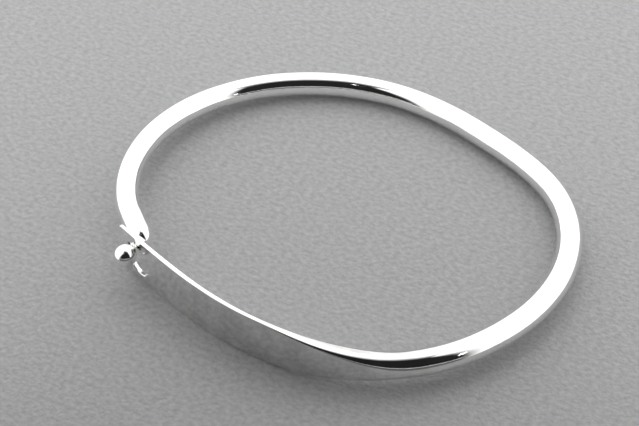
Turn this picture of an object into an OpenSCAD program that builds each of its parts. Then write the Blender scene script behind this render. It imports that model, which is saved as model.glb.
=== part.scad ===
// A silver bangle in one piece. A round rod is bent to an oval. One end is forged to a thin
// upright blade with a keyhole near its tip. The other end comes round behind the blade, turns
// outward, and is drawn down to a thin neck that passes through the slot and ends in a ball.
// It lies on its side as it rests by itself, on the foot of the blade and the far side of the
// rod. Lengths are in millimetres, bends in degrees.

/* [Rod] */
// Diameter of the round rod
rod_d = 3.8; // [3.4:0.1:4.2]
// Diameter of the rod where it turns outward behind the blade
rod_end_d = 3.7; // [3.3:0.1:3.8]
// Length of the rod's middle line from the blade's tip to the outward turn
rod_length = 188; // [187:0.5:189]

/* [Blade] */
// Height of the blade
blade_h = 8.1; // [7.6:0.1:8.6]
// Thickness of the blade
blade_t = 0.65; // [0.55:0.05:0.8]
// Distance from the tip to where the blade starts to turn round
blade_length = 26; // [24:1:28]
// Radius of the tip's two corners
tip_corner = 0.8; // [0.5:0.1:1.5]

/* [Catch] */
// Diameter of the ball
ball_d = 3.45; // [3.2:0.05:3.5]
// Diameter of the neck
neck_d = 1.5; // [1.2:0.1:1.6]
// Diameter of the keyhole's round hole, which lets the ball through
hole_d = 3.75; // [3.7:0.05:4]
// Width of the keyhole's slot, which holds the neck
slot_w = 2.2; // [2.1:0.05:2.4]

/* [Hidden] */

// How the rod was bent, seen from above. Each row is the distance from the blade's tip and the
// bend there in degrees per millimetre; between rows the bend changes evenly.
bends = [
    [0, -0.18],
    [26, 1.39],
    [40, 1.79],
    [46, 2.19],
    [62, 1.59],
    [94, 3.19],
    [108, 0.36],
    [122, 1.74],
    [142, 1.59],
    [182, 2.88],
    [188, 3.8]
];
tip_heading = -20.9;

// Lengths over which the blade's height and thickness grow back to the rod's diameter
height_blend = 23;
thickness_blend = 25;

// The blade's edges are filed nearly flat. The squareness is 2 for a half circle and more for a
// flatter edge, and falls back to 2 over square_blend.
edge_square = 5;
square_blend = 22;

// The blade thins towards its tip, to this share of its thickness over this length.
tip_share = 0.75;
tip_thinning = 6;

// The end of the tip is rounded over this length, down to this share of the thickness.
tip_edge = 0.2;
edge_share = 0.4;

// The rod thins from thin_from to its outward turn, and climbs a little from climb_from,
// towards the slot.
thin_from = 150;
climb_from = 140;
climb = 0.75;

// Places in the blade's own measure: along it from the tip, down from its top edge, and
// outward from its middle plane.
elbow_place = [1.75, 3.35, -2.4];
ball_place = [3.8, 2.3, 2.15];
hole_place = [4.75, 4.9, 0];
neck_share = -elbow_place[2] / (ball_place[2] - elbow_place[2]);
slot_place = elbow_place + neck_share * (ball_place - elbow_place);

// The turn round the elbow starts and ends this far from it.
turn_reach = 1.1;

// The shoulder between rod and neck stops this far along the line from elbow to ball.
shoulder_share = 0.34;
shoulder_length = 1.6;
shoulder_end_d = 0.6 * neck_d;
cut_depth = 1.2;
side_share = 0.97;

// Distances from the tip of the three places that touch the surface at rest
foot_stations = [tip_corner, blade_length, 115];

ring_points = 28;
path_step = 0.5;
ring_step = 2;
tip_rings = 7;
run_rings = 3;
turn_rings = 8;
shoulder_rings = 8;
round_fn = 64;

function clamp01(t) = min(1, max(0, t));
function ease(t) = clamp01(t) * clamp01(t) * (3 - 2 * clamp01(t));
function unit(v) = v / norm(v);
function bulge(t) = sqrt(max(0, 1 - (1 - clamp01(t)) * (1 - clamp01(t))));

// Running totals of a list, one entry longer than the list
function totals(list, start) = [
    for (i = 0, sum = start; i <= len(list); sum = sum + (i < len(list) ? list[i] : 0), i = i + 1) sum];
// The entries of a list as pairs with their distance from the tip
function by_distance(list) = [for (i = [0:len(list) - 1]) [i * path_step, list[i]]];

// The middle line, stepped off along the bends
hops = [for (i = [0:rod_length / path_step - 1]) (i + 0.5) * path_step];
headings = by_distance(totals([for (s = hops) path_step * lookup(s, bends)], tip_heading));
function heading(s) = lookup(s, headings);
xs = by_distance(totals([for (s = hops) path_step * cos(heading(s))], 0));
ys = by_distance(totals([for (s = hops) path_step * sin(heading(s))], 0));

function climb_at(s) = climb * pow(clamp01((s - climb_from) / (rod_length - climb_from)), 2);
function middle(s) = [lookup(s, xs), lookup(s, ys), climb_at(s)];
function outward(s) = [sin(heading(s)), -cos(heading(s)), 0];

// Height and thickness of the section at a distance from the tip
function thinned(s) = (rod_d - rod_end_d) * clamp01((s - thin_from) / (rod_length - thin_from));
function full_height(s) = blade_h + (rod_d - blade_h) * ease((s - blade_length) / height_blend);
function height(s) = full_height(s) - thinned(s) - 2 * tip_corner * (1 - bulge(s / tip_corner));
function full_thickness(s) = blade_t + (rod_d - blade_t) * ease((s - blade_length) / thickness_blend);
function tip_factor(s) = tip_share + (1 - tip_share) * ease(s / tip_thinning);
function edge_factor(s) = edge_share + (1 - edge_share) * bulge(s / tip_edge);
function thickness(s) = (full_thickness(s) - thinned(s)) * tip_factor(s) * edge_factor(s);
function squareness(s) = edge_square + (2 - edge_square) * ease((s - blade_length) / square_blend);

// A section outline, as pairs of outward and upward lengths. Its top and bottom are half circles,
// or flatter where the squareness is over 2.
function squared(part, square) = sign(part) * pow(abs(part), 2 / square);
function section(h, t, square) = [
    for (i = [0:ring_points - 1])
        let (a = (i + 0.5) * 360 / ring_points,
             straight = (a < 180 ? 1 : -1) * max(0, h - t) / 2)
            [t / 2 * squared(cos(a), square), t / 2 * squared(sin(a), square) + straight]
];
function ring(centre, side, up, h, t, square) =
    [for (p = section(h, t, square)) centre + p[0] * side + p[1] * up];

// A place in the blade's own measure, as a point
function on_blade(place) =
    middle(place[0]) + [0, 0, blade_h / 2 - place[1]] + place[2] * outward(place[0]);
elbow = on_blade(elbow_place);
ball_centre = on_blade(ball_place);
shoulder = elbow + shoulder_share * (ball_centre - elbow);

// The rod's end runs straight to the turn, round the elbow, and straight on to the shoulder.
rod_end = middle(rod_length);
rod_way = [cos(heading(rod_length)), sin(heading(rod_length)), 0];
run_way = unit(elbow - rod_end);
neck_way = unit(ball_centre - elbow);
turn_start = elbow - turn_reach * run_way;
turn_end = elbow + turn_reach * neck_way;
function turn_point(t) = pow(1 - t, 2) * turn_start + 2 * t * (1 - t) * elbow + t * t * turn_end;
function turn_way(t) = unit((1 - t) * run_way + t * neck_way);
function hook_d(point) =
    let (left = norm(shoulder - point))
        shoulder_end_d + (rod_end_d - shoulder_end_d) * bulge(left / shoulder_length);
function hook_ring(point, way) =
    let (side = unit(cross(way, [0, 0, 1])), d = hook_d(point))
        ring(point, side, cross(side, way), d, d, 2);
hook = concat(
    [for (i = [1:run_rings])
        let (t = i / run_rings)
            hook_ring(rod_end + t * (turn_start - rod_end), unit(rod_way + t * (run_way - rod_way)))],
    [for (i = [1:turn_rings])
        let (t = i / turn_rings)
            hook_ring(turn_point(t), turn_way(t))],
    [for (i = [1:shoulder_rings])
        let (t = sin(90 * i / shoulder_rings))
            hook_ring(turn_end + t * (shoulder - turn_end), neck_way)]);

tip_stations = [for (i = [0:tip_rings]) tip_corner * (1 - cos(90 * i / tip_rings))];
rod_stations = [for (i = [0:floor((rod_length - tip_corner) / ring_step)])
                rod_length - i * ring_step];
stations = concat(tip_stations, [for (i = [len(rod_stations) - 1:-1:0]) rod_stations[i]]);
rings = concat(
    [for (s = stations)
        ring(middle(s), outward(s), [0, 0, 1], height(s), thickness(s), squareness(s))],
    hook);

// The loop rests on two places along the foot of the blade and one on the far side of the rod,
// so it lies a little tilted, because the blade is taller than the rod.
function foot(s) = middle(s) - [0, 0, height(s) / 2];
feet = [for (s = foot_stations) foot(s)];
feet_normal = unit(cross(feet[1] - feet[0], feet[2] - feet[0]));
rest_tilt = acos(feet_normal[2]);
rest_direction = atan2(-feet_normal[1], -feet_normal[0]);

// The loop laid down: tilted, then moved so that its box stands centred on the origin
function laid(p) =
    let (down = [cos(rest_direction), sin(rest_direction), 0], reach = p * down)
        p + (reach * (cos(rest_tilt) - 1) + p[2] * sin(rest_tilt)) * down
        + [0, 0, p[2] * (cos(rest_tilt) - 1) - reach * sin(rest_tilt)];
laid_points = [for (r = rings) for (p = r) laid(p)];
ball_laid = laid(ball_centre);
function low(axis) = min(min([for (p = laid_points) p[axis]]), ball_laid[axis] - ball_d / 2);
function high(axis) = max(max([for (p = laid_points) p[axis]]), ball_laid[axis] + ball_d / 2);
rest_shift = -[(low(0) + high(0)) / 2, (low(1) + high(1)) / 2, low(2)];

// A tube through a list of rings, closed at both ends
module skin(list) {
    n = len(list[0]);
    last = (len(list) - 1) * n;
    sides = [for (i = [0:len(list) - 2]) for (j = [0:n - 1])
             [i * n + j, i * n + (j + 1) % n, (i + 1) * n + (j + 1) % n, (i + 1) * n + j]];
    start = [for (j = [n - 1:-1:0]) j];
    end = [for (j = [0:n - 1]) last + j];
    polyhedron([for (r = list) for (p = r) p], concat(sides, [start, end]), convexity = 8);
}

// Stands a shape drawn in the XY plane upright against the blade, at a place on it
module against_blade(place) {
    translate(on_blade(place))
        rotate([90, 0, heading(place[0])])
            children();
}

// The flat sides of the slot meet both round ends just inside their widest places.
module keyhole() {
    way = [slot_place[0] - hole_place[0], hole_place[1] - slot_place[1]];
    hole_side = side_share * hole_d / 2;
    slot_side = side_share * slot_w / 2;
    against_blade(hole_place)
        rotate(atan2(way[1], way[0])) {
            cylinder(d = hole_d, h = cut_depth, center = true, $fn = round_fn);
            translate([norm(way), 0, 0])
                cylinder(d = slot_w, h = cut_depth, center = true, $fn = round_fn);
            linear_extrude(height = cut_depth, center = true)
                polygon([
                    [0, hole_side],
                    [0, -hole_side],
                    [norm(way), -slot_side],
                    [norm(way), slot_side]
                ]);
        }
}

module neck_and_ball() {
    span = ball_centre - elbow;
    translate(elbow)
        rotate([0, acos(span[2] / norm(span)), atan2(span[1], span[0])])
            cylinder(d = neck_d, h = norm(span), $fn = round_fn);
    translate(ball_centre)
        sphere(d = ball_d, $fn = round_fn);
}

module bangle() {
    color("silver")
        translate(rest_shift)
            rotate(rest_tilt, [-sin(rest_direction), cos(rest_direction), 0]) {
                difference() {
                    skin(rings);
                    keyhole();
                }
                neck_and_ball();
            }
}

bangle();
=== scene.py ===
# A polished silver bangle with a ball and keyhole catch, in a small white light tent.
# The shape follows the same measures as the solid model: one round rod bent to an oval, one end
# forged to an upright blade with a keyhole, the other turned outward to a neck and a ball.
# The shape is worked out in millimetres and becomes metres when the loop is laid down.
import math

import bmesh
import bpy
import numpy as np
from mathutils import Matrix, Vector


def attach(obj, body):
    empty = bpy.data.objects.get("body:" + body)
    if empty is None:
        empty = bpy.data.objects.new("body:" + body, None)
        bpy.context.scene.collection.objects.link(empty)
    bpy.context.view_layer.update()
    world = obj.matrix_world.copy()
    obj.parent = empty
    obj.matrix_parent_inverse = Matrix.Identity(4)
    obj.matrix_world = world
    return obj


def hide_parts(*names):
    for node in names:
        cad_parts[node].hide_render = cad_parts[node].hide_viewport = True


bl_info = {
    "name": "Bangle with a ball and keyhole catch",
    "version": (1, 0, 0),
    "blender": (4, 5, 0),
    "location": "View3D > Sidebar > Bangle",
    "description": "Makes a silver wire bangle and a light tent to show it in",
    "category": "Add Mesh",
}

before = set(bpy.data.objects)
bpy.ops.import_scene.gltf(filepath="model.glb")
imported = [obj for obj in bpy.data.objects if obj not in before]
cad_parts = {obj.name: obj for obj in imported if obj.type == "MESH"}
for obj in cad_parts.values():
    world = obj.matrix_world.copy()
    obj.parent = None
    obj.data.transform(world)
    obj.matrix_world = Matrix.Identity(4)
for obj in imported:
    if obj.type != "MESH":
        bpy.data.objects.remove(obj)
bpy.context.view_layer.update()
MM = 0.001

# How the rod was bent, seen from above: the distance from the blade's tip in millimetres and
# the bend there in degrees per millimetre. Between two rows the bend changes evenly.
BENDS = (
    (0, -0.18),
    (26, 1.39),
    (40, 1.79),
    (46, 2.19),
    (62, 1.59),
    (94, 3.19),
    (108, 0.36),
    (122, 1.74),
    (142, 1.59),
    (182, 2.88),
    (188, 3.8),
)

# The blade's heading at its tip, in degrees from +X towards +Y.
TIP_HEADING = -20.9

# From the blade's end its height and its thickness ease to the rod's diameter over these lengths.
HEIGHT_BLEND = 23.0
THICKNESS_BLEND = 25.0

# How square the blade's filed edges are, where 2 is a half circle, and the length from the
# blade's end over which they become round.
EDGE_SQUARE = 5.0
SQUARE_BLEND = 22.0

# The tip has this share of the blade's thickness, which it reaches over the thinning. Its very
# end is rounded over the edge, down to a share of that.
TIP_SHARE = 0.75
TIP_THINNING = 6.0
TIP_EDGE = 0.2
TIP_EDGE_SHARE = 0.4

# Where the rod starts to thin towards its end, where it starts to climb and how far it climbs.
THIN_FROM = 150.0
CLIMB_FROM = 140.0
CLIMB = 0.75

# The place along the rod of the third foot that the loop stands on. The blade has the others.
FAR_FOOT = 115.0

# Places in the blade's own measure, in millimetres: along it from the tip, down from its top
# edge, and outward from its middle plane.
ELBOW_PLACE = (1.75, 3.35, -2.4)
BALL_PLACE = (3.8, 2.3, 2.15)
HOLE_PLACE = (4.75, 4.9, 0.0)

# How far the outward turn reaches on either side of the elbow, the shoulder's place as a share
# of the way from elbow to ball, and the length of the shoulder's dome.
TURN_REACH = 1.1
SHOULDER_SHARE = 0.34
SHOULDER_LENGTH = 1.6

# Widths of the smooth blends from the shoulder to the neck and from the neck to the ball.
NECK_BLEND = 0.25
BALL_BLEND = 0.12

# The unevenness of forged and filed metal, as waves along the rod. The columns are the length in
# millimetres a radian, the share of the full height, the shift by the surface's outward turn, by
# its upward turn and by both together, and the start.
HAND_WAVES = (
    (2.9, 1.0, 1.7, 0.0, 0.0, 0.0),
    (1.7, 0.8, 0.0, 2.1, 0.0, 0.6),
    (4.3, 0.6, 0.0, 0.0, -2.6, 2.0),
)

# How finely the skin is laid out: steps of the middle line, points round a ring, the distance
# between rings, the rings at the tip, the run, the turn, the neck and the ball, and the points
# round the keyhole.
LINE_STEP = 0.1
RING_POINTS = 88
RING_STEP = 0.35
TIP_RINGS = 18
RUN_RINGS = 12
TURN_RINGS = 30
NECK_RINGS = 22
BALL_RINGS = 44
KEYHOLE_POINTS = 144

# A flat takes at most this share of a ring's points, and half of that at this height.
FLAT_SHARE = 0.42
FLAT_HALF_AT = 2.0

# The blade's end is skinned by itself up to here, so that the keyhole is cut from a small piece.
# Points closer than the seam's width are one point when it is sewn to the rest.
CUT_END = 16.0
SEAM_WIDTH = 0.0001

# How far the keyhole's cutter reaches past the blade's faces.
PAST_BLADE = 0.3

# Faces that meet at a greater angle than this keep a crisp edge.
SHARP_ANGLE = math.radians(32)

# The widths of the fade at the four corners of a panel that doesn't fade.
EVEN = (1, 1, 1, 1)

# Width of the camera's sensor in millimetres.
SENSOR_WIDTH = 36


class BangleForm(bpy.types.PropertyGroup):
    rod_d: bpy.props.FloatProperty(
        name="Rod diameter", description="Diameter of the round rod",
        default=0.0038, unit="LENGTH", precision=5)
    rod_end_d: bpy.props.FloatProperty(
        name="Rod end diameter", description="Diameter of the rod where it turns outward",
        default=0.0037, unit="LENGTH", precision=5)
    rod_length: bpy.props.FloatProperty(
        name="Rod length", description="Length of the middle line from the tip to the outward turn",
        default=0.188, unit="LENGTH", precision=5)
    blade_h: bpy.props.FloatProperty(
        name="Blade height", description="Height of the blade",
        default=0.0081, unit="LENGTH", precision=5)
    blade_t: bpy.props.FloatProperty(
        name="Blade thickness", description="Thickness of the blade",
        default=0.00065, unit="LENGTH", precision=5)
    blade_length: bpy.props.FloatProperty(
        name="Blade length", description="Distance from the tip to where the blade turns round",
        default=0.026, unit="LENGTH", precision=5)
    tip_corner: bpy.props.FloatProperty(
        name="Tip corner", description="Radius of the tip's two corners",
        default=0.0008, unit="LENGTH", precision=5)
    ball_d: bpy.props.FloatProperty(
        name="Ball diameter", description="Diameter of the ball",
        default=0.00345, unit="LENGTH", precision=5)
    neck_d: bpy.props.FloatProperty(
        name="Neck diameter", description="Diameter of the neck in the slot",
        default=0.0015, unit="LENGTH", precision=5)
    hole_d: bpy.props.FloatProperty(
        name="Hole diameter", description="Diameter of the keyhole's round hole",
        default=0.00375, unit="LENGTH", precision=5)
    slot_w: bpy.props.FloatProperty(
        name="Slot width", description="Width of the keyhole's slot",
        default=0.0022, unit="LENGTH", precision=5)
    edge_break: bpy.props.FloatProperty(
        name="Edge break", description="How far the keyhole's edges are eased by filing",
        default=0.0001, unit="LENGTH", precision=5)
    ripple: bpy.props.FloatProperty(
        name="Hand finish", description="Height of the slight waves left by forging and filing",
        default=0.000008, unit="LENGTH", precision=6)


class BangleFinish(bpy.types.PropertyGroup):
    silver: bpy.props.FloatVectorProperty(
        name="Silver", description="Colour of the polished silver",
        default=(0.96, 0.955, 0.945), subtype="COLOR", size=3, min=0, max=1)
    silver_worn: bpy.props.FloatVectorProperty(
        name="Worn silver", description="Colour where handling has dulled the silver",
        default=(0.9, 0.893, 0.88), subtype="COLOR", size=3, min=0, max=1)
    # Painted shade: a darker silver laid on a patch of the blade's face.
    silver_painted_shade: bpy.props.FloatVectorProperty(
        name="Silver in painted shade", description="Colour of the blade's face, darkened as painted shade",
        default=(0.68, 0.672, 0.66), subtype="COLOR", size=3, min=0, max=1)
    polish_low: bpy.props.FloatProperty(
        name="Best polish", description="Roughness where the polish is best",
        default=0.03, min=0, max=1, subtype="FACTOR")
    polish_high: bpy.props.FloatProperty(
        name="Least polish", description="Roughness where fine wear shows",
        default=0.085, min=0, max=1, subtype="FACTOR")
    cloud_size: bpy.props.FloatProperty(
        name="Cloud size", description="Size of the clouds of light wear",
        default=0.0035, unit="LENGTH", precision=5)
    smudge_size: bpy.props.FloatProperty(
        name="Smudge size", description="Size of the patches where the polish changes",
        default=0.0016, unit="LENGTH", precision=5)
    wave_size: bpy.props.FloatProperty(
        name="Wave size", description="Size of the slow waves left by hand finishing",
        default=0.0045, unit="LENGTH", precision=5)
    hairline_size: bpy.props.FloatProperty(
        name="Hairline size", description="Size of the fine hairlines in the polish",
        default=0.0006, unit="LENGTH", precision=5)
    # Painted shade: where the patch of darker silver sits on the blade's face, and how far it reaches.
    painted_shade_centre: bpy.props.FloatVectorProperty(
        name="Painted shade centre", description="Middle of the painted shade patch on the blade's face",
        default=(0.006, -0.027, 0.0), subtype="TRANSLATION", unit="LENGTH", size=3)
    painted_shade_reach: bpy.props.FloatVectorProperty(
        name="Painted shade reach", description="How far the painted shade reaches along each axis",
        default=(0.024, 0.014, 1.0), subtype="TRANSLATION", unit="LENGTH", size=3)
    paper: bpy.props.FloatVectorProperty(
        name="Paper", description="Colour of the pale floor",
        default=(0.46, 0.46, 0.462), subtype="COLOR", size=3, min=0, max=1)
    paper_shade: bpy.props.FloatVectorProperty(
        name="Paper grain", description="Colour of the darker fibres in the floor",
        default=(0.345, 0.345, 0.352), subtype="COLOR", size=3, min=0, max=1)
    fibre_size: bpy.props.FloatProperty(
        name="Fibre size", description="Size of the paper's darker fibres",
        default=0.0009, unit="LENGTH", precision=5)
    fuzz_size: bpy.props.FloatProperty(
        name="Fuzz size", description="Size of the paper's fine relief",
        default=0.0005, unit="LENGTH", precision=5)


class BangleStudio(bpy.types.PropertyGroup):
    roof_glow: bpy.props.FloatProperty(
        name="Roof glow", description="Brightness of the tent's roof", default=1.9, min=0)
    wall_glow: bpy.props.FloatProperty(
        name="Wall glow", description="Brightness of the tent's walls", default=1.3, min=0)
    tent_height: bpy.props.FloatProperty(
        name="Tent height", description="Height of the tent's roof",
        default=0.214, unit="LENGTH")
    wall_height: bpy.props.FloatProperty(
        name="Wall height", description="Height of the tent's left wall",
        default=0.3, unit="LENGTH")
    tent_half_width: bpy.props.FloatProperty(
        name="Tent half width", description="Distance from the middle to the side walls",
        default=0.075, unit="LENGTH")
    tent_depth: bpy.props.FloatProperty(
        name="Tent depth", description="Distance from the middle to the back wall",
        default=0.4, unit="LENGTH")
    roof_start: bpy.props.FloatProperty(
        name="Roof start", description="Where the roof's front edge hangs, away from the middle",
        default=-0.05, unit="LENGTH")
    fade: bpy.props.FloatProperty(
        name="Fade", description="Width over which the roof's light fades towards the doorway",
        default=0.12, unit="LENGTH")
    left_foot: bpy.props.FloatProperty(
        name="Left foot", description="Where the left wall's front edge stands, away from the middle",
        default=-0.062, unit="LENGTH")
    left_top: bpy.props.FloatProperty(
        name="Left top", description="Where the left wall's front edge ends at the top",
        default=-0.112, unit="LENGTH")
    right_foot: bpy.props.FloatProperty(
        name="Right foot", description="Where the right wall's front edge stands, away from the middle",
        default=-0.096, unit="LENGTH")
    right_top: bpy.props.FloatProperty(
        name="Right top", description="Where the right wall's front edge ends at the top",
        default=-0.05, unit="LENGTH")
    side_fade: bpy.props.FloatProperty(
        name="Side fade", description="Width over which the walls' light fades towards the doorway",
        default=0.03, unit="LENGTH")
    sill: bpy.props.FloatProperty(
        name="Sill", description="Height of the dim wall across the room, beyond the doorway",
        default=0.11, unit="LENGTH")
    sill_glow: bpy.props.FloatProperty(
        name="Sill glow", description="Brightness of the wall across the room", default=0.13, min=0)
    rim: bpy.props.FloatProperty(
        name="Rim", description="Height of the lighter strip along the top of that wall",
        default=0.022, unit="LENGTH")
    rim_glow: bpy.props.FloatProperty(
        name="Rim glow", description="Brightness of that strip", default=0.9, min=0)
    lamp: bpy.props.FloatProperty(
        name="Lamp", description="Size of the two small lamps that the metal mirrors as specks",
        default=0.006, unit="LENGTH")
    lamp_glow: bpy.props.FloatProperty(
        name="Lamp glow", description="Brightness of the two small lamps", default=6.0, min=0)
    left_lamp: bpy.props.FloatVectorProperty(
        name="Left lamp", description="Place of the left lamp, to the right, away and up",
        default=(-0.04, -0.097, 0.217), subtype="TRANSLATION", unit="LENGTH", size=3)
    right_lamp: bpy.props.FloatVectorProperty(
        name="Right lamp", description="Place of the right lamp, to the right, away and up",
        default=(0.065, -0.067, 0.055), subtype="TRANSLATION", unit="LENGTH", size=3)
    fill: bpy.props.FloatProperty(
        name="Fill", description="Power of the soft light from behind that reaches the floor",
        default=1.3, min=0)
    fill_place: bpy.props.FloatVectorProperty(
        name="Fill place", description="Place of that light, to the right, away and up",
        default=(0.3, 0.32, 0.6), subtype="TRANSLATION", unit="LENGTH", size=3)
    fill_width: bpy.props.FloatProperty(
        name="Fill width", description="Width of that light", default=0.5, unit="LENGTH")
    fill_depth: bpy.props.FloatProperty(
        name="Fill depth", description="Depth of that light", default=0.35, unit="LENGTH")
    floor_reach: bpy.props.FloatProperty(
        name="Floor reach", description="Distance from the middle to the floor's edges",
        default=1.5, unit="LENGTH")
    room: bpy.props.FloatProperty(
        name="Room", description="Brightness of the room seen through the doorway",
        default=0.018, min=0)
    camera_turn: bpy.props.FloatProperty(
        name="Camera turn", description="Compass direction of the view, counted from +Y towards -X",
        default=math.radians(25.02), subtype="ANGLE")
    camera_fall: bpy.props.FloatProperty(
        name="Camera fall", description="How far the view looks down from level",
        default=math.radians(48.0), subtype="ANGLE")
    camera_place: bpy.props.FloatVectorProperty(
        name="Camera place", description="Where the camera stands",
        default=(0.0667, -0.15203, 0.1866), subtype="TRANSLATION", unit="LENGTH", size=3)
    lens: bpy.props.FloatProperty(
        name="Lens", description="Focal length in millimetres on a sensor 36 mm wide",
        default=93.9, min=1)


def in_mm(form, name):
    """One of the form's lengths in millimetres."""
    return getattr(form, name) / MM


def ease(t):
    """A smooth rise from 0 to 1: three times the square less twice the cube."""
    t = np.clip(t, 0, 1)
    return t * t * (3 - 2 * t)


def bulge(t):
    """A quarter circle's rise from 0 to 1."""
    t = np.clip(t, 0, 1)
    return np.sqrt(1 - (1 - t) ** 2)


def smooth_max(a, b, width):
    """The greater of two values, with the corner between them rounded over a width. How near
    the values are, as a share of the width, is squared and adds a quarter of the width."""
    near = np.maximum(width - np.abs(a - b), 0) / width
    return np.maximum(a, b) + near * near * width / 4


def unit(v):
    """Directions of length 1 from vectors."""
    return v / np.linalg.norm(v, axis=-1, keepdims=True)


class RodLine:
    """The rod's middle line. Its heading is the running sum of the bends, and its place is the
    running sum of short steps along the heading."""

    def __init__(self, form):
        self.length = in_mm(form, "rod_length")
        table = np.array(BENDS, float)
        self.s = np.arange(0, self.length + LINE_STEP / 2, LINE_STEP)
        middle = (self.s[1:] + self.s[:-1]) / 2
        bend = np.radians(np.interp(middle, table[:, 0], table[:, 1])) * LINE_STEP
        self.heading = math.radians(TIP_HEADING) + np.concatenate([[0], np.cumsum(bend)])
        halfway = (self.heading[1:] + self.heading[:-1]) / 2
        self.x = np.concatenate([[0], np.cumsum(np.cos(halfway) * LINE_STEP)])
        self.y = np.concatenate([[0], np.cumsum(np.sin(halfway) * LINE_STEP)])

    def at(self, s):
        """The middle points and outward directions at distances s from the blade's tip."""
        s = np.asarray(s, float)
        turn = np.interp(s, self.s, self.heading)
        z = CLIMB * np.clip((s - CLIMB_FROM) / (self.length - CLIMB_FROM), 0, 1) ** 2
        place = np.stack([np.interp(s, self.s, self.x), np.interp(s, self.s, self.y), z], -1)
        outward = np.stack([np.sin(turn), -np.cos(turn), np.zeros_like(turn)], -1)
        return place, outward


def bar_sizes(form, s):
    """The bar's height and thickness: the blade's, easing to the rod's diameter, less a slight
    thinning towards the rod's end. At the tip a quarter circle draws in the height, and the
    thickness thins slowly and then quickly, by a quarter circle again."""
    blade_h, blade_t = in_mm(form, "blade_h"), in_mm(form, "blade_t")
    rod_d, end_d = in_mm(form, "rod_d"), in_mm(form, "rod_end_d")
    start, length = in_mm(form, "blade_length"), in_mm(form, "rod_length")
    corner = in_mm(form, "tip_corner")
    thinned = (rod_d - end_d) * np.clip((s - THIN_FROM) / (length - THIN_FROM), 0, 1)
    high = blade_h + (rod_d - blade_h) * ease((s - start) / HEIGHT_BLEND)
    thick = blade_t + (rod_d - blade_t) * ease((s - start) / THICKNESS_BLEND)
    high = high - thinned - 2 * corner * (1 - bulge(s / corner))
    thick = (thick - thinned) * (TIP_SHARE + (1 - TIP_SHARE) * ease(s / TIP_THINNING))
    thick = thick * (TIP_EDGE_SHARE + (1 - TIP_EDGE_SHARE) * bulge(s / TIP_EDGE))
    return high, thick


def outline(u, high, thick, square):
    """A bar's outline: two upright flats joined by half circles, or by flatter superellipses
    where the squareness is over 2. u is the share of the way round. The flats take a share of
    the points that grows with their height, and the second half is the first turned by half a
    turn. Gives the outward and upward places and the half circles' normals."""
    straight = np.maximum(high - thick, 0)
    flat = FLAT_SHARE * straight / (straight + FLAT_HALF_AT)
    v = (u + flat / 2) % 1.0
    w = v % 0.5
    on_flat = w < flat
    rise = np.where(on_flat, straight * (w / np.maximum(flat, 1e-9) - 0.5), straight / 2)
    angle = np.where(on_flat, 0, math.pi * (w - flat) / (0.5 - flat))
    turn = np.where(v < 0.5, 1.0, -1.0)
    out_n, up_n = turn * np.cos(angle), turn * np.sin(angle)
    out = thick / 2 * np.sign(out_n) * np.abs(out_n) ** (2 / square)
    up = thick / 2 * np.sign(up_n) * np.abs(up_n) ** (2 / square)
    return out, turn * rise + up, out_n, up_n


def hand_waves(s, out_n, up_n, height):
    """The slight unevenness that forging and filing leave in metal: a sum of long waves along the
    rod, each shifted round it by the way the surface faces."""
    total = 0.0
    for length, share, by_out, by_up, by_both, start in HAND_WAVES:
        phase = s / length + by_out * out_n + by_up * up_n + by_both * out_n * up_n + start
        total = total + share * np.sin(phase)
    return height * total


def rings_round(centre, side, up, high, thick, s, waves, square):
    """Carries the outline along a line: each ring is its centre plus the outline's outward part
    along the side direction and its upward part along the up direction."""
    u = (np.arange(RING_POINTS) + 0.5) / RING_POINTS
    out, rise, out_n, up_n = outline(u[None, :], high[:, None], thick[:, None], square[:, None])
    lift = hand_waves(s[:, None], out_n, up_n, waves)
    out, rise = out + lift * out_n, rise + lift * up_n
    return centre[:, None] + out[..., None] * side[:, None] + rise[..., None] * up[:, None]


def blade_place(line, form, place):
    """A place in the blade's own measure, as a point."""
    centre, outward = line.at(place[0])
    rise = np.array([0, 0, in_mm(form, "blade_h") / 2 - place[1]])
    return centre + rise + place[2] * outward


def rod_rings(line, form):
    """The blade and rod up to the outward turn. The rings stand closer together towards the tip,
    as the cosine of equal angles."""
    corner = in_mm(form, "tip_corner")
    tip = corner * (1 - np.cos(np.linspace(0, math.pi / 2, TIP_RINGS)))
    s = np.concatenate([tip, np.arange(corner + RING_STEP, line.length, RING_STEP), [line.length]])
    centre, outward = line.at(s)
    up = np.zeros_like(outward)
    up[:, 2] = 1
    high, thick = bar_sizes(form, s)
    square = EDGE_SQUARE + (2 - EDGE_SQUARE) * ease((s - in_mm(form, "blade_length")) / SQUARE_BLEND)
    return s, rings_round(centre, outward, up, high, thick, s, in_mm(form, "ripple"), square)


def hook_path(end, way, elbow, ball, shoulder):
    """The rod's end as points and directions: straight to the turn, round the elbow as a
    quadratic curve, and straight on to the shoulder, closer together towards it."""
    run_way, neck_way = unit(elbow - end), unit(ball - elbow)
    turn_start, turn_end = elbow - TURN_REACH * run_way, elbow + TURN_REACH * neck_way
    t = np.linspace(0, 1, RUN_RINGS + 1)[1:, None]
    run, run_ways = end + t * (turn_start - end), way + t * (run_way - way)
    t = np.linspace(0, 1, TURN_RINGS + 1)[1:, None]
    turn = (1 - t) ** 2 * turn_start + 2 * t * (1 - t) * elbow + t * t * turn_end
    turn_ways = (1 - t) * run_way + t * neck_way
    t = np.sin(np.linspace(0, math.pi / 2, TURN_RINGS + 1))[1:, None]
    dome = turn_end + t * (shoulder - turn_end)
    dome_ways = np.broadcast_to(neck_way, dome.shape)
    return np.concatenate([run, turn, dome]), np.concatenate([run_ways, turn_ways, dome_ways])


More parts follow.
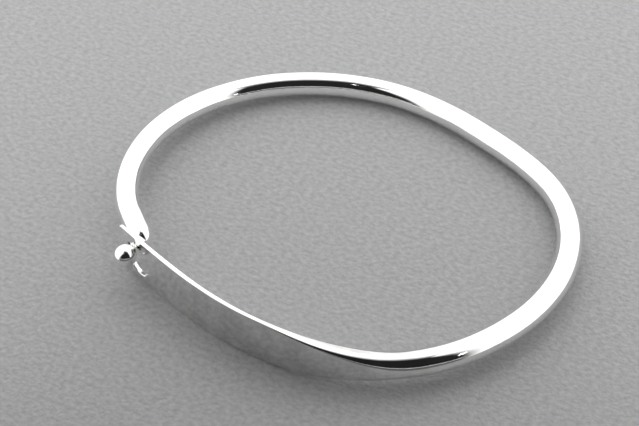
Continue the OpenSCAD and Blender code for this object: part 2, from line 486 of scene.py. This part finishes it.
def neck_and_ball(span, neck_r, ball_r):
    """Distances from the shoulder along the neck and the ball, and the radius at each. The neck
    is straight, the ball's radius is the height of a circle over its diameter, and the two
    blend smoothly where they meet. The span is the distance to the ball's middle."""
    first = math.asin(neck_r / ball_r)
    neck = np.linspace(0, span - ball_r * math.cos(first), NECK_RINGS)[1:-1]
    ball = span - ball_r * np.cos(np.linspace(first, math.pi, BALL_RINGS)[:-1])
    along = np.concatenate([neck, ball])
    circle = np.sqrt(np.maximum(ball_r ** 2 - (along - span) ** 2, 0))
    blended = smooth_max(circle, np.full_like(along, neck_r), BALL_BLEND)
    return along, np.where(along < span, blended, circle)


def catch_rings(line, form):
    """The outward turn, neck and ball, and the ball's outer pole. At the shoulder the rod's
    thickness falls like a dome towards the neck's, and the two blend smoothly."""
    end, outward = line.at(line.length)
    way = np.array([-outward[1], outward[0], 0])
    elbow, ball = blade_place(line, form, ELBOW_PLACE), blade_place(line, form, BALL_PLACE)
    shoulder = elbow + SHOULDER_SHARE * (ball - elbow)
    neck_way, span = unit(ball - elbow), np.linalg.norm(ball - shoulder)
    neck_r, ball_r = in_mm(form, "neck_d") / 2, in_mm(form, "ball_d") / 2

    hook, hook_ways = hook_path(end, way, elbow, ball, shoulder)
    left = np.linalg.norm(shoulder - hook, axis=1)
    hook_r = in_mm(form, "rod_end_d") * bulge(left / SHOULDER_LENGTH) / 2
    hook_r = smooth_max(hook_r, np.full_like(hook_r, neck_r), NECK_BLEND)
    along, straight_r = neck_and_ball(span, neck_r, ball_r)
    straight = shoulder + along[:, None] * neck_way

    centre = np.concatenate([hook, straight])
    ways = unit(np.concatenate([hook_ways, np.broadcast_to(neck_way, straight.shape)]))
    size = 2 * np.concatenate([hook_r, straight_r])
    side = unit(np.cross(ways, [0.0, 0.0, 1.0]))
    up = np.cross(side, ways)
    pole = shoulder + (span + ball_r) * neck_way
    along_rod, round_all = np.full_like(size, line.length), np.full_like(size, 2)
    return rings_round(centre, side, up, size, size, along_rod, 0, round_all), pole


def skin_faces(count, points):
    """Quads between neighbouring rings of so many points each, facing outward."""
    i, j = np.meshgrid(np.arange(count - 1), np.arange(points), indexing="ij")
    k = (j + 1) % points
    n = points
    quads = np.stack([i * n + j, (i + 1) * n + j, (i + 1) * n + k, i * n + k], -1)
    return quads.reshape(-1, 4).tolist()


def new_mesh(name, points, faces):
    """A mesh from an array of points and a list of faces."""
    mesh = bpy.data.meshes.new(name)
    mesh.from_pydata(np.asarray(points).reshape(-1, 3).tolist(), [], faces)
    mesh.update()
    return mesh


def keyhole_cutter(line, form):
    """The keyhole's outline carried through the blade. The outline goes round two circles: for
    each facing direction it takes the circle that reaches farther that way, and the jumps
    between them are the straight sides. It widens towards both faces, to ease the edges."""
    hole = blade_place(line, form, HOLE_PLACE)
    slot_line = np.array(BALL_PLACE) - np.array(ELBOW_PLACE)
    slot_place = np.array(ELBOW_PLACE) - ELBOW_PLACE[2] / slot_line[2] * slot_line
    reach = np.array([slot_place[0] - HOLE_PLACE[0], HOLE_PLACE[1] - slot_place[1]])
    distance = np.linalg.norm(reach)
    hole_r, slot_r = in_mm(form, "hole_d") / 2, in_mm(form, "slot_w") / 2
    half, ease_by = in_mm(form, "blade_t") / 2, in_mm(form, "edge_break")
    depth = np.array([-half - PAST_BLADE, ease_by - half, half - ease_by, half + PAST_BLADE])
    grow = np.array([ease_by + PAST_BLADE, 0, 0, ease_by + PAST_BLADE])
    n = KEYHOLE_POINTS
    facing = (np.arange(n) + 0.5) / n * 2 * math.pi
    to_slot = np.cos(facing) * distance + slot_r > hole_r
    radius = np.where(to_slot, slot_r, hole_r)[None, :] + grow[:, None]
    x = np.where(to_slot, distance, 0)[None, :] + radius * np.cos(facing)
    y = radius * np.sin(facing)
    _, outward = line.at(HOLE_PLACE[0])
    along = np.array([-outward[1], outward[0], 0])
    toward_slot = reach[0] / distance * along + np.array([0, 0, reach[1] / distance])
    across = np.cross(outward, toward_slot)
    points = (hole + x[..., None] * toward_slot + y[..., None] * across
              + depth[:, None, None] * outward)
    # These rings run the other way round, so their faces are turned to face outward.
    sides = [[a, d, c, b] for a, b, c, d in skin_faces(len(depth), n)]
    lids = [list(range(n - 1, -1, -1)), list(range((len(depth) - 1) * n, len(depth) * n))]
    return new_mesh("keyhole_cutter", points, sides + lids)


def cut(mesh, cutter):
    """Cuts one closed mesh out of another and gives the result as a new mesh."""
    body, tool = bpy.data.objects.new("uncut", mesh), bpy.data.objects.new("cutter", cutter)
    for o in (body, tool):
        bpy.context.scene.collection.objects.link(o)
    boolean = body.modifiers.new("keyhole", "BOOLEAN")
    boolean.operation, boolean.solver, boolean.object = "DIFFERENCE", "EXACT", tool
    bpy.context.view_layer.update()
    evaluated = body.evaluated_get(bpy.context.evaluated_depsgraph_get())
    done = bpy.data.meshes.new_from_object(evaluated)
    for o in (body, tool):
        bpy.data.objects.remove(o)
    if not done.polygons:
        raise RuntimeError("cutting the keyhole left no metal")
    return done


def sew(blade, rest, seam):
    """Opens the blade's inner end, the many-sided face nearest the seam's middle, and joins it
    to the rest of the rod. The skin that comes out has to be closed."""
    bm = bmesh.new()
    bm.from_mesh(blade)
    lid = min((f for f in bm.faces if len(f.verts) >= RING_POINTS),
              key=lambda f: (f.calc_center_median() - Vector(seam)).length)
    bmesh.ops.delete(bm, geom=[lid], context="FACES_ONLY")
    bm.from_mesh(rest)
    bmesh.ops.remove_doubles(bm, verts=bm.verts, dist=SEAM_WIDTH)
    if not all(edge.is_manifold for edge in bm.edges):
        raise RuntimeError("the bangle's skin isn't closed")
    mesh = bpy.data.meshes.new("bangle_skin")
    bm.to_mesh(mesh)
    bm.free()
    return mesh


def resting(line, form, points):
    """Lays the loop down. The plane through its three feet becomes the floor: the points turn
    about the level axis square to the slope, and then move so that their box stands centred."""
    stations = np.array([in_mm(form, "tip_corner"), in_mm(form, "blade_length"), FAR_FOOT])
    feet, _ = line.at(stations)
    feet[:, 2] -= bar_sizes(form, stations)[0] / 2
    normal = unit(np.cross(feet[1] - feet[0], feet[2] - feet[0]))
    tilt, slope = math.acos(normal[2]), math.atan2(-normal[1], -normal[0])
    down = np.array([math.cos(slope), math.sin(slope), 0])
    reach, z = points @ down, points[:, 2]
    moved = points + (reach * (math.cos(tilt) - 1) + z * math.sin(tilt))[:, None] * down
    moved[:, 2] += z * (math.cos(tilt) - 1) - reach * math.sin(tilt)
    low, high = moved.min(0), moved.max(0)
    return moved - np.array([(low[0] + high[0]) / 2, (low[1] + high[1]) / 2, low[2]])


def bangle_mesh(form):
    """One closed skin. The blade's end is closed by itself and gets its keyhole, then its inner
    end is opened again and sewn to the rest of the rod, the neck and the ball."""
    line = RodLine(form)
    s, rod = rod_rings(line, form)
    catch, pole = catch_rings(line, form)
    n, split = RING_POINTS, int(np.argmin(np.abs(s - CUT_END)))
    lids = [list(range(n)), list(range((split + 1) * n - 1, split * n - 1, -1))]
    blade_end = new_mesh("blade_end", rod[:split + 1], skin_faces(split + 1, n) + lids)
    blade = cut(blade_end, keyhole_cutter(line, form))

    rest = np.concatenate([rod[split:], catch])
    last = (len(rest) - 1) * n
    cap = [[last + j, len(rest) * n, last + (j + 1) % n] for j in range(n)]
    rest_points = np.concatenate([rest.reshape(-1, 3), [pole]])
    rest_mesh = new_mesh("rod_rest", rest_points, skin_faces(len(rest), n) + cap)

    mesh = sew(blade, rest_mesh, rod[split].mean(0))
    points = np.empty(len(mesh.vertices) * 3)
    mesh.vertices.foreach_get("co", points)
    points = resting(line, form, points.reshape(-1, 3)) * MM
    mesh.vertices.foreach_set("co", points.ravel())
    mesh.update()
    mesh.shade_smooth()
    mesh.set_sharp_from_angle(angle=SHARP_ANGLE)
    return mesh


def add_node(tree, kind, place, **values):
    """Adds a shader node, sets its plain attributes and its inputs by name."""
    made = tree.nodes.new(kind)
    made.location = place
    for key, value in values.items():
        if key in made.inputs:
            made.inputs[key].default_value = value
        else:
            setattr(made, key, value)
    return made


def grain(tree, coords, place, size, detail=2.0, stretch=(1, 1, 1)):
    """Noise whose lumps are about a size across, in metres, on Object coordinates."""
    mapping = add_node(tree, "ShaderNodeMapping", (place[0] - 200, place[1]))
    mapping.inputs["Scale"].default_value = stretch
    tree.links.new(coords, mapping.inputs["Vector"])
    noise = add_node(tree, "ShaderNodeTexNoise", place, Scale=1 / size, Detail=detail)
    tree.links.new(mapping.outputs["Vector"], noise.inputs["Vector"])
    return noise.outputs["Fac"]


def spread(tree, value, place, low, high, start=0.3, end=0.7):
    """Maps noise between two shares to a range of values."""
    ranged = add_node(tree, "ShaderNodeMapRange", place)
    for key, number in (("From Min", start), ("From Max", end), ("To Min", low), ("To Max", high)):
        ranged.inputs[key].default_value = number
    tree.links.new(value, ranged.inputs["Value"])
    return ranged.outputs["Result"]


def blend_colours(tree, share, place, first, second):
    """Mixes two colours, the second by the given share."""
    mix = add_node(tree, "ShaderNodeMix", place, data_type="RGBA")
    colours = [i for i in mix.inputs if i.type == "RGBA"]
    colours[0].default_value = (*first, 1)
    colours[1].default_value = (*second, 1)
    tree.links.new(share, mix.inputs["Factor"])
    return next(o for o in mix.outputs if o.type == "RGBA")


def raised(tree, height, place, distance, strength, below=None):
    """Relief by a height, on top of the relief below it if there is one."""
    bump = add_node(tree, "ShaderNodeBump", place)
    bump.inputs["Distance"].default_value = distance
    bump.inputs["Strength"].default_value = strength
    tree.links.new(height, bump.inputs["Height"])
    if below is not None:
        tree.links.new(below, bump.inputs["Normal"])
    return bump.outputs["Normal"]


def new_material(name):
    """A new material with its node tree, its shader and its Object coordinates."""
    material = bpy.data.materials.new(name)
    material.use_nodes = True
    tree = material.node_tree
    coords = add_node(tree, "ShaderNodeTexCoord", (-1400, 0)).outputs["Object"]
    return material, tree, tree.nodes["Principled BSDF"], coords


def patch(tree, coords, place, centre, reach):
    """A mask that is 1 at a centre and falls to 0 over a reach along each axis, in metres."""
    mapping = add_node(tree, "ShaderNodeMapping", (place[0] - 200, place[1]))
    mapping.inputs["Scale"].default_value = tuple(1 / r for r in reach)
    mapping.inputs["Location"].default_value = tuple(-c / r for c, r in zip(centre, reach))
    tree.links.new(coords, mapping.inputs["Vector"])
    gradient = add_node(tree, "ShaderNodeTexGradient", place, gradient_type="SPHERICAL")
    tree.links.new(mapping.outputs["Vector"], gradient.inputs["Vector"])
    return gradient.outputs["Fac"]


def silver_material(finish):
    """Mirror-polished silver. Clouds of light wear dull it a little, and a patch of painted shade,
    mottled by the same clouds, darkens the blade's face. Fine hairlines and slow waves from hand
    finishing ruffle its reflections."""
    material, tree, shader, coords = new_material("polished_silver")
    shader.inputs["Metallic"].default_value = 1.0
    clouds = grain(tree, coords, (-900, 300), finish.cloud_size, detail=4.0)
    wear = spread(tree, clouds, (-650, 300), 0.0, 1.0, start=0.42, end=0.72)
    colour = blend_colours(tree, wear, (-400, 300), finish.silver, finish.silver_worn)
    # Painted shade: a mask over a patch of the blade's face, mottled by the clouds, mixes in the darker
    # silver.
    face = patch(tree, coords, (-900, 600), finish.painted_shade_centre, finish.painted_shade_reach)
    mottled = spread(tree, clouds, (-650, 450), 0.45, 1.0, start=0.35, end=0.65)
    painted_shade_share = add_node(tree, "ShaderNodeMath", (-450, 550), operation="MULTIPLY")
    tree.links.new(spread(tree, face, (-650, 600), 0.0, 1.0, start=0.0, end=0.5), painted_shade_share.inputs[0])
    tree.links.new(mottled, painted_shade_share.inputs[1])
    whole = blend_colours(tree, painted_shade_share.outputs["Value"], (-200, 300), finish.silver, finish.silver_painted_shade)
    first = next(i for i in whole.node.inputs if i.type == "RGBA")
    tree.links.new(colour, first)
    tree.links.new(whole, shader.inputs["Base Color"])
    smudges = grain(tree, coords, (-900, 50), finish.smudge_size, detail=5.0)
    polish = spread(tree, smudges, (-650, 50), finish.polish_low, finish.polish_high)
    tree.links.new(polish, shader.inputs["Roughness"])
    hairlines = grain(tree, coords, (-900, -200), finish.hairline_size, detail=3.0, stretch=(1, 1, 8))
    waves = grain(tree, coords, (-900, -450), finish.wave_size, detail=1.0)
    slow = raised(tree, waves, (-400, -450), distance=0.00006, strength=0.35)
    both = raised(tree, hairlines, (-200, -300), distance=0.000004, strength=0.25, below=slow)
    tree.links.new(both, shader.inputs["Normal"])
    return material


def paper_material(finish):
    """Matt grey paper with a fine fibre grain."""
    material, tree, shader, coords = new_material("floor_paper")
    shader.inputs["Roughness"].default_value = 0.85
    shader.inputs["Specular IOR Level"].default_value = 0.2
    fibres = grain(tree, coords, (-900, 300), finish.fibre_size, detail=5.0, stretch=(1, 1.4, 1))
    share = spread(tree, fibres, (-650, 300), 0.0, 1.0)
    colour = blend_colours(tree, share, (-400, 300), finish.paper_shade, finish.paper)
    tree.links.new(colour, shader.inputs["Base Color"])
    fuzz = grain(tree, coords, (-900, -200), finish.fuzz_size, detail=4.0)
    relief = raised(tree, fuzz, (-400, -200), distance=0.0003, strength=0.6)
    tree.links.new(relief, shader.inputs["Normal"])
    return material


def link_piece(mesh, name, material):
    """Gives a mesh its material and puts it in the scene as a piece at the origin."""
    mesh.materials.append(material)
    piece = bpy.data.objects.new(name, mesh)
    bpy.context.scene.collection.objects.link(piece)
    return piece


class BANGLE_OT_make_bangle(bpy.types.Operator):
    """Make the silver bangle: rod, blade, keyhole, neck and ball as one skin"""

    bl_idname = "bangle.make_bangle"
    bl_label = "Make bangle"

    def execute(self, context):
        form, finish = context.scene.bangle_form, context.scene.bangle_finish
        mesh = bangle_mesh(form)
        piece = link_piece(mesh, "silver_bangle", silver_material(finish))
        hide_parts("bangle")
        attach(piece, "root")
        return {"FINISHED"}


def stage_point(studio, right, away, up):
    """A point from its distances to the right of, away from and above the middle, as the
    camera sees them."""
    turn = studio.camera_turn
    return (right * math.cos(turn) - away * math.sin(turn),
            right * math.sin(turn) + away * math.cos(turn), up)


def cloth_material(name, glow):
    """Cloth lit from behind. It fades from glowing to clear towards the doorway's edge, by the
    first UV coordinate, which counts widths of the fade from that edge."""
    material = bpy.data.materials.new(name)
    material.use_nodes = True
    tree = material.node_tree
    tree.nodes.remove(tree.nodes["Principled BSDF"])
    coords = add_node(tree, "ShaderNodeTexCoord", (-900, 0)).outputs["UV"]
    split = add_node(tree, "ShaderNodeSeparateXYZ", (-700, 0))
    tree.links.new(coords, split.inputs["Vector"])
    fade = add_node(tree, "ShaderNodeMapRange", (-500, 0), interpolation_type="SMOOTHSTEP")
    tree.links.new(split.outputs["X"], fade.inputs["Value"])
    clear = add_node(tree, "ShaderNodeBsdfTransparent", (-250, 100))
    emission = add_node(tree, "ShaderNodeEmission", (-250, -100), Strength=glow)
    mix = add_node(tree, "ShaderNodeMixShader", (0, 0))
    tree.links.new(fade.outputs["Result"], mix.inputs["Fac"])
    tree.links.new(clear.outputs["BSDF"], mix.inputs[1])
    tree.links.new(emission.outputs["Emission"], mix.inputs[2])
    tree.links.new(mix.outputs["Shader"], tree.nodes["Material Output"].inputs["Surface"])
    return material


def cloth(studio, name, corners, widths, glow):
    """One panel of the tent, unseen by the camera: four corners as right, away and up, and how
    many widths of the fade each corner lies behind the doorway's edge."""
    points = [stage_point(studio, *corner) for corner in corners]
    mesh = new_mesh(name, points, [[0, 1, 2, 3]])
    layer = mesh.uv_layers.new(name="fade")
    for loop, width in zip(layer.data, widths):
        loop.uv = (width, 0)
    panel = link_piece(mesh, name, cloth_material(name, glow))
    panel.visible_camera = False
    return panel


def make_floor(studio, finish):
    """A flat square of paper under the bangle."""
    reach = studio.floor_reach
    corners = [(-reach, -reach, 0), (reach, -reach, 0), (reach, reach, 0), (-reach, reach, 0)]
    floor = link_piece(new_mesh("floor", corners, [[0, 1, 2, 3]]), "floor", paper_material(finish))


def make_tent(studio):
    """Roof, back wall and side walls, open to the front. A side wall's front edge leans, so its
    widths of the fade are counted square to that edge."""
    wide, deep, high = studio.tent_half_width, studio.tent_depth, studio.tent_height
    start = studio.roof_start
    roof_widths = (deep - start) / studio.fade
    cloth(studio, "roof",
          [(-wide, start, high), (wide, start, high), (wide, deep, high), (-wide, deep, high)],
          (0, 0, roof_widths, roof_widths), studio.roof_glow)
    cloth(studio, "back_wall",
          [(-wide, deep, 0), (wide, deep, 0), (wide, deep, high), (-wide, deep, high)],
          EVEN, studio.wall_glow)
    walls = (
        ("left_wall", -wide, studio.left_foot, studio.left_top, studio.wall_height),
        ("right_wall", wide, studio.right_foot, studio.right_top, high),
    )
    for name, across, foot, top, tall in walls:
        square = math.cos(math.atan((top - foot) / tall)) / studio.side_fade
        cloth(studio, name,
              [(across, foot, 0), (across, deep, 0), (across, deep, tall), (across, top, tall)],
              (0, (deep - foot) * square, (deep - top) * square, 0), studio.wall_glow)


def make_room_wall(studio):
    """The dim wall across the room that the metal mirrors through the doorway, with a lighter
    strip along its top."""
    deep = studio.tent_depth
    low, high = studio.sill, studio.sill + studio.rim
    for name, foot, top, glow in (("sill", 0, low, studio.sill_glow), ("rim", low, high, studio.rim_glow)):
        cloth(studio, name,
              [(-deep, -deep, foot), (deep, -deep, foot), (deep, -deep, top), (-deep, -deep, top)],
              EVEN, glow)


def make_lamps(studio):
    """Two small bright squares that the metal mirrors as specks. Each leans half over, to face
    back and down to the bangle."""
    half = studio.lamp / 2
    for name, place in (("left_lamp", studio.left_lamp), ("right_lamp", studio.right_lamp)):
        across, away, up = place
        cloth(studio, name,
              [(across - half, away - half, up - half), (across + half, away - half, up - half),
               (across + half, away + half, up + half), (across - half, away + half, up + half)],
              EVEN, studio.lamp_glow)


def make_back_fill(studio):
    """A wide soft light from behind and above, turned to the middle, that reaches the floor.
    The metal doesn't mirror it."""
    light = bpy.data.lights.new("back_fill", "AREA")
    light.shape = "RECTANGLE"
    light.size, light.size_y = studio.fill_width, studio.fill_depth
    light.energy = studio.fill
    panel = bpy.data.objects.new("back_fill", light)
    bpy.context.scene.collection.objects.link(panel)
    panel.location = stage_point(studio, *studio.fill_place)
    panel.rotation_euler = panel.location.to_track_quat("Z", "Y").to_euler()
    panel.visible_camera = False
    panel.visible_glossy = False


def make_room(context, studio):
    """An even, very dim light from all round."""
    world = bpy.data.worlds.new("room")
    world.use_nodes = True
    context.scene.world = world
    back = world.node_tree.nodes["Background"]
    back.inputs["Color"].default_value = (1, 1, 1, 1)
    back.inputs["Strength"].default_value = studio.room


def make_camera(context, studio):
    """The camera at the photo's angle and distance."""
    camera = bpy.data.objects.new("camera", bpy.data.cameras.new("camera"))
    context.scene.collection.objects.link(camera)
    camera.data.sensor_width = SENSOR_WIDTH
    camera.data.lens = studio.lens
    camera.data.clip_start = 0.01
    camera.location = studio.camera_place
    camera.rotation_euler = (math.pi / 2 - studio.camera_fall, 0, studio.camera_turn)
    context.scene.camera = camera
    context.scene.view_settings.view_transform = "Standard"


class BANGLE_OT_make_stage(bpy.types.Operator):
    """Make the floor, the light tent and the camera"""

    bl_idname = "bangle.make_stage"
    bl_label = "Make stage"

    def execute(self, context):
        studio = context.scene.bangle_studio
        make_floor(studio, context.scene.bangle_finish)
        make_tent(studio)
        make_room_wall(studio)
        make_lamps(studio)
        make_back_fill(studio)
        make_room(context, studio)
        make_camera(context, studio)
        return {"FINISHED"}


class BANGLE_PT_panel(bpy.types.Panel):
    bl_idname = "BANGLE_PT_panel"
    bl_label = "Bangle"
    bl_space_type = "VIEW_3D"
    bl_region_type = "UI"
    bl_category = "Bangle"

    def draw(self, context):
        for label, group in (("Form", context.scene.bangle_form), ("Finish", context.scene.bangle_finish),
                             ("Studio", context.scene.bangle_studio)):
            box = self.layout.box()
            box.label(text=label)
            for name in group.__annotations__:
                box.prop(group, name)
        for operator in (BANGLE_OT_make_bangle, BANGLE_OT_make_stage):
            self.layout.operator(operator.bl_idname)


CLASSES = (
    BangleForm,
    BangleFinish,
    BangleStudio,
    BANGLE_OT_make_bangle,
    BANGLE_OT_make_stage,
    BANGLE_PT_panel,
)


def register():
    for cls in CLASSES:
        bpy.utils.register_class(cls)
    bpy.types.Scene.bangle_form = bpy.props.PointerProperty(type=BangleForm)
    bpy.types.Scene.bangle_finish = bpy.props.PointerProperty(type=BangleFinish)
    bpy.types.Scene.bangle_studio = bpy.props.PointerProperty(type=BangleStudio)


def unregister():
    del bpy.types.Scene.bangle_form
    del bpy.types.Scene.bangle_finish
    del bpy.types.Scene.bangle_studio
    for cls in reversed(CLASSES):
        bpy.utils.unregister_class(cls)


def main():
    register()
    bpy.ops.bangle.make_bangle()
    bpy.ops.bangle.make_stage()


if __name__ == "__main__":
    main()
